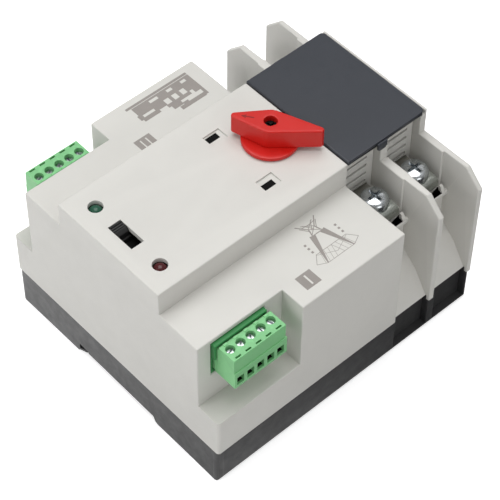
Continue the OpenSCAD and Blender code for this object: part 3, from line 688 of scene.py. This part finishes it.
class SWITCH_OT_terminals(bpy.types.Operator):
    """Screws, saddle clamps and vents in the power bays"""

    bl_idname = "switch.terminals"
    bl_label = "Power terminals"

    def execute(self, context):
        rounded_copy("saddle_clamps", "clamp_plates", 0.0003, shortest=0.0008, look="clamp_metal")
        z_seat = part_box("saddle_clamps")[1].z
        z_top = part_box("terminal_screws")[1].z
        bm = bmesh.new()
        for d in BAY_CENTRES:
            for side in (-1, 1):
                self.pan_head(bm, (along(d), side * CLAMP_SCREW_OUT * MM), z_seat, z_top)
        bmesh.ops.recalc_face_normals(bm, faces=bm.faces)
        piece = add_object(bm, "clamp_screws", "zinc_steel", "frame", 32.0)
        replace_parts(piece, "terminal_screws")
        rounded_copy("vent_plates", "vent_louvres", 0.0002, shortest=0.01, segments=1)
        rounded_copy("busbars", "bus_bars", 0.0002, shortest=0.004, segments=1)
        return {"FINISHED"}

    @classmethod
    def pan_head(cls, bm, centre, z_seat, z_top):
        """Domed head with a cross recess, and its shank."""
        r = 6.0 * MM
        height = z_top - z_seat
        steps = 72
        profile = [(r, z_seat), (r, z_seat + 0.45 * height)]
        for k in range(1, 7):
            t = math.radians(90 * k / 6)
            profile.append((
                r - 2.3 * MM * (1 - math.cos(t)), z_seat + 0.45 * height + 0.5 * height * math.sin(t)))
        rings = [circle(bm, centre, radius, z, steps) for radius, z in profile]
        cross = cls.cross(3.4 * MM, 0.75 * MM, steps)
        for k, dz in ((1.0, -0.02 * MM), (0.9, -0.5 * MM), (0.62, -2.2 * MM)):
            rings.append([bm.verts.new((centre[0] + x * k, centre[1] + y * k, z_top + dz)) for x, y in cross])
        skin(bm, rings)
        bm.faces.new(rings[-1])
        shank, length = 3.0 * MM, 16 * MM
        lower = [circle(bm, centre, radius, z, steps) for radius, z in (
            (shank, z_seat), (shank, z_seat - length + 0.5 * MM), (shank - 0.5 * MM, z_seat - length))]
        skin(bm, rings[:1] + lower)
        bm.faces.new(lower[-1])

    @staticmethod
    def cross(arm, half_width, steps):
        """Outline of a cross recess, one point for each step of a turn."""
        points = []
        for i in range(steps):
            a = 2 * math.pi * i / steps
            c, s = math.cos(a), math.sin(a)
            major, minor = max(abs(c), abs(s)), max(min(abs(c), abs(s)), 1e-6)
            reach = max(min(arm / major, half_width / minor), half_width * 1.25)
            points.append((reach * c, reach * s))
        return points


class SWITCH_OT_connectors(bpy.types.Operator):
    """Plugs, sockets and their screws"""

    bl_idname = "switch.connectors"
    bl_label = "Connectors"

    def execute(self, context):
        rounded_copy("plug_headers", "socket_rims", 0.0002, shortest=0.008, segments=1)
        for side, label in ((1, "a"), (-1, "b")):
            rounded_copy("plug_" + label, "plug_block_" + label, 0.0003, shortest=0.005)
            self.cages(side, label)
            self.screws(side, label)
        return {"FINISHED"}

    @staticmethod
    def cages(side, label):
        """Closed clamp behind each wire entry, with its upper and lower jaw, in near-black metal that paints
        the shade inside the entries.
        """
        half = 1.72  # of the clamp's width
        blocks = (  # span outwards and span upwards, in mm
            ((54.3, 58.2), (58.13, 62.57)), ((58.1, 59.4), (61.3, 62.57)), ((58.1, 62.0), (58.13, 58.4)))
        bm = bmesh.new()
        for d in POLES:
            for (near, far), (z0, z1) in blocks:
                y0, y1 = sorted((side * near * MM, side * far * MM))
                low = Vector((along(d) - half * MM, y0, z0 * MM))
                high = Vector((along(d) + half * MM, y1, z1 * MM))
                add_block(bm, low, high, 0.06 * MM)
        bmesh.ops.recalc_face_normals(bm, faces=bm.faces)
        # the near-black metal paints the shade deep inside the wire entries
        add_object(bm, "wire_cages_" + label, "shade_metal", "plug_" + label)

    @staticmethod
    def screws(side, label):
        """Slotted screws at the bottom of the wells, each left at another turn."""
        node = "plug_%s_screws" % label
        low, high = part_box(node)
        r, steps = 1.88 * MM, 48
        half_slot, slot_end, rim, depth = 0.36 * MM, r - 0.36 * MM, r - 0.34 * MM, 0.9 * MM
        bm = bmesh.new()
        for k, d in enumerate(POLES):
            x, y = along(d), side * POLE_SCREW_OUT * MM
            profile = (
                (r, low.z), (r, high.z - 0.3 * MM),
                (r - 0.08 * MM, high.z - 0.1 * MM), (r - 0.3 * MM, high.z))
            rings = [circle(bm, (x, y), radius, z, steps) for radius, z in profile]
            slot = []
            turn = math.radians(18 + 23 * k)
            for i in range(steps):
                a = 2 * math.pi * i / steps
                c, s = abs(math.cos(a - turn)), abs(math.sin(a - turn))
                reach = min(slot_end / max(c, 1e-6), half_slot / max(s, 1e-6), rim)
                slot.append((x + reach * math.cos(a), y + reach * math.sin(a)))
            for z in (high.z, high.z - depth):
                rings.append([bm.verts.new((*point, z)) for point in slot])
            skin(bm, rings)
            bm.faces.new(rings[-1])
            bm.faces.new(list(reversed(rings[0])))
        bmesh.ops.recalc_face_normals(bm, faces=bm.faces)
        piece = add_object(bm, "plug_screws_" + label, "zinc_steel", "plug_" + label, 32.0)
        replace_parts(piece, node)


class DeckPrint:
    """Flat printed patches on the side decks, from places in mm."""

    def __init__(self):
        self.bm = bmesh.new()
        self.patches = 0

    def plate(self, points):
        """A patch that stands a hair above the one before, so they can overlap."""
        lift = (0.012 + 0.0006 * self.patches) * MM
        self.patches += 1
        low, high = (
            [self.bm.verts.new((along(d), y * MM, z)) for d, y in points]
            for z in (DECK - 0.05 * MM, DECK + lift))
        skin(self.bm, (low, high))
        self.bm.faces.new(high)
        self.bm.faces.new(list(reversed(low)))

    def area(self, d0, d1, y0, y1):
        self.plate(((d0, y0), (d1, y0), (d1, y1), (d0, y1)))

    def stroke(self, a, b, w0, w1=None):
        """A line between two points, of even or tapering width."""
        w1 = w0 if w1 is None else w1
        dx, dy = b[0] - a[0], b[1] - a[1]
        n = math.hypot(dx, dy)
        px, py = -dy / n / 2, dx / n / 2
        self.plate((
            (a[0] - px * w0, a[1] - py * w0), (b[0] - px * w1, b[1] - py * w1),
            (b[0] + px * w1, b[1] + py * w1), (a[0] + px * w0, a[1] + py * w0)))

    def numeral(self, blocks, low, high, foot, head):
        """A square with a bare bar, from foot to head, in each gap between its blocks."""
        for d0, d1 in blocks:
            self.area(d0, d1, low, high)
        for (_, d0), (d1, _) in zip(blocks, blocks[1:]):
            self.area(d0, d1, low, foot)
            self.area(d0, d1, head, high)

    def pylon(self, mid):
        """Legs, cross beam with its lattice, insulators and spread feet."""
        for s in (-1, 1):
            def line(a, b, w0, w1=None):
                self.stroke((mid + s * a[0], a[1]), (mid + s * b[0], b[1]), w0, w1)

            line((6.9, 53.5), (2.5, 39.9), 0.5, 2.7)
            line((0.0, 53.5), (7.0, 53.5), 0.22)
            line((7.0, 53.5), (11.0, 51.5), 0.22)
            line((0.0, 51.6), (8.0, 47.9), 0.16)
            line((0.0, 47.7), (8.0, 47.7), 0.22)
            line((8.0, 47.9), (11.0, 51.5), 0.22)
            for k in range(4):
                line((2.0 * k, 47.7), (2.0 * k + 1.8, 53.4), 0.14)
            for k in range(3):
                end = mid + s * 8.0
                self.area(end - 0.5, end + 0.5, 41.1 + 2.1 * k, 42.1 + 2.1 * k)
            line((2.6, 40.4), (1.5, 36.6), 0.5)
            line((1.5, 36.6), (5.0, 32.4), 0.45)
            line((1.5, 38.0), (4.2, 34.2), 0.3)
            line((-0.6, 37.6), (2.2, 33.6), 0.3)
            line((-2.4, 39.6), (1.6, 36.4), 0.3)
            line((-1.5, 36.4), (2.9, 33.4), 0.3)
            line((0.0, 34.8), (3.4, 34.4), 0.3)
        self.stroke((mid - 2.4, 40.0), (mid + 2.4, 40.0), 0.4)

    def generator(self):
        """Engine-driven generator in side view, from its skid up to the exhaust."""
        for y0, y1, spans in (
            (-59.5, -58.3, ((57.9, 90.2),)),
            (-58.0, -56.9, ((60.0, 90.2),)),
            (-56.9, -55.4, ((60.0, 68.2), (72.6, 77.4), (80.2, 85.0), (87.6, 90.2))),
            (-55.4, -53.2, ((60.0, 90.2),)),
            (-53.2, -50.2, ((59.2, 61.4), (67.2, 73.0), (75.6, 77.2), (79.6, 81.4), (83.8, 90.2))),
            (-53.2, -52.4, ((61.4, 67.2),)),
            (-51.0, -50.2, ((61.4, 67.2),)),
            (-50.2, -48.9, ((60.2, 68.6),)),
            (-50.2, -48.4, ((72.4, 84.6),)),
            (-50.2, -48.0, ((86.2, 90.2),)),
            (-48.0, -44.2, ((88.8, 90.2),)),
            (-48.4, -46.2, ((73.6, 78.4),)),
            (-47.0, -45.9, ((78.4, 81.0),)),
            (-45.9, -43.8, ((76.0, 88.8),))):
            for d0, d1 in spans:
                self.area(d0, d1, y0, y1)


class SWITCH_OT_front(bpy.types.Operator):
    """Lamps, printed marks, slide selector and rail latch"""

    bl_idname = "switch.front"
    bl_label = "Front details"

    def execute(self, context):
        self.lamp_lens("led_green", "green_lamp", "lamp_green", -1)
        self.lamp_lens("led_red", "red_lamp", "lamp_red", 1)
        self.prints()
        rounded_copy("mode_slider", "selector_slide", 0.00012, shortest=0.004, segments=1)
        rounded_copy("rail_latch", "rail_foot", 0.0003, shortest=0.006)
        return {"FINISHED"}

    @staticmethod
    def lamp_lens(node, name, slot, side):
        """Round-topped lens standing in its hole."""
        low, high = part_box(node)
        r = (high.x - low.x) / 2
        profile = [(0.0, low.z), (r - 0.2 * MM, low.z), (r, low.z + 0.2 * MM)]
        for k in range(10):
            t = math.radians(9 * k)
            profile.append((r * math.cos(t), high.z - r + r * math.sin(t)))
        profile.append((0.0, high.z))
        bm = bmesh.new()
        lathe(bm, profile, ((low.x + high.x) / 2, side * LAMP_OUT * MM), 48)
        bmesh.ops.recalc_face_normals(bm, faces=bm.faces)
        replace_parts(add_object(bm, name, slot, "frame"), node)

    @staticmethod
    def prints():
        """Numerals in their squares and two bare line pictures on the side decks."""
        art = DeckPrint()
        art.numeral(((49.7, 53.1), (53.9, 57.2)), 50.8, 58.0, 51.9, 57.0)
        art.numeral(((48.9, 51.3), (51.9, 54.0), (54.6, 57.0)), -43.4, -36.2, -42.3, -37.2)
        art.pylon(71.8)
        art.generator()
        bmesh.ops.recalc_face_normals(art.bm, faces=art.bm.faces)
        add_object(art.bm, "deck_prints", "ink", "frame")


class SWITCH_PT_panel(bpy.types.Panel):
    """Lists the settings and the pieces"""

    bl_label = "Changeover switch"
    bl_idname = "SWITCH_PT_panel"
    bl_space_type = "VIEW_3D"
    bl_region_type = "UI"
    bl_category = "Switch"

    def draw(self, context):
        layout = self.layout
        for group in (context.scene.switch_finish, context.scene.switch_sizes):
            for key in group.__annotations__:
                layout.prop(group, key)
        for op in STEPS:
            layout.operator(op.bl_idname)


STEPS = (
    SWITCH_OT_stage,
    SWITCH_OT_mouldings,
    SWITCH_OT_handle,
    SWITCH_OT_terminals,
    SWITCH_OT_connectors,
    SWITCH_OT_front,
)
CLASSES = (SWITCH_PG_finish, SWITCH_PG_sizes, *STEPS, SWITCH_PT_panel)


def register():
    for cls in CLASSES:
        bpy.utils.register_class(cls)
    bpy.types.Scene.switch_finish = bpy.props.PointerProperty(type=SWITCH_PG_finish)
    bpy.types.Scene.switch_sizes = bpy.props.PointerProperty(type=SWITCH_PG_sizes)


def unregister():
    del bpy.types.Scene.switch_sizes
    del bpy.types.Scene.switch_finish
    for cls in reversed(CLASSES):
        bpy.utils.unregister_class(cls)


def main():
    register()
    make_materials()
    for op in STEPS:
        group, name = op.bl_idname.split(".")
        getattr(getattr(bpy.ops, group), name)()


if __name__ == "__main__":
    main()
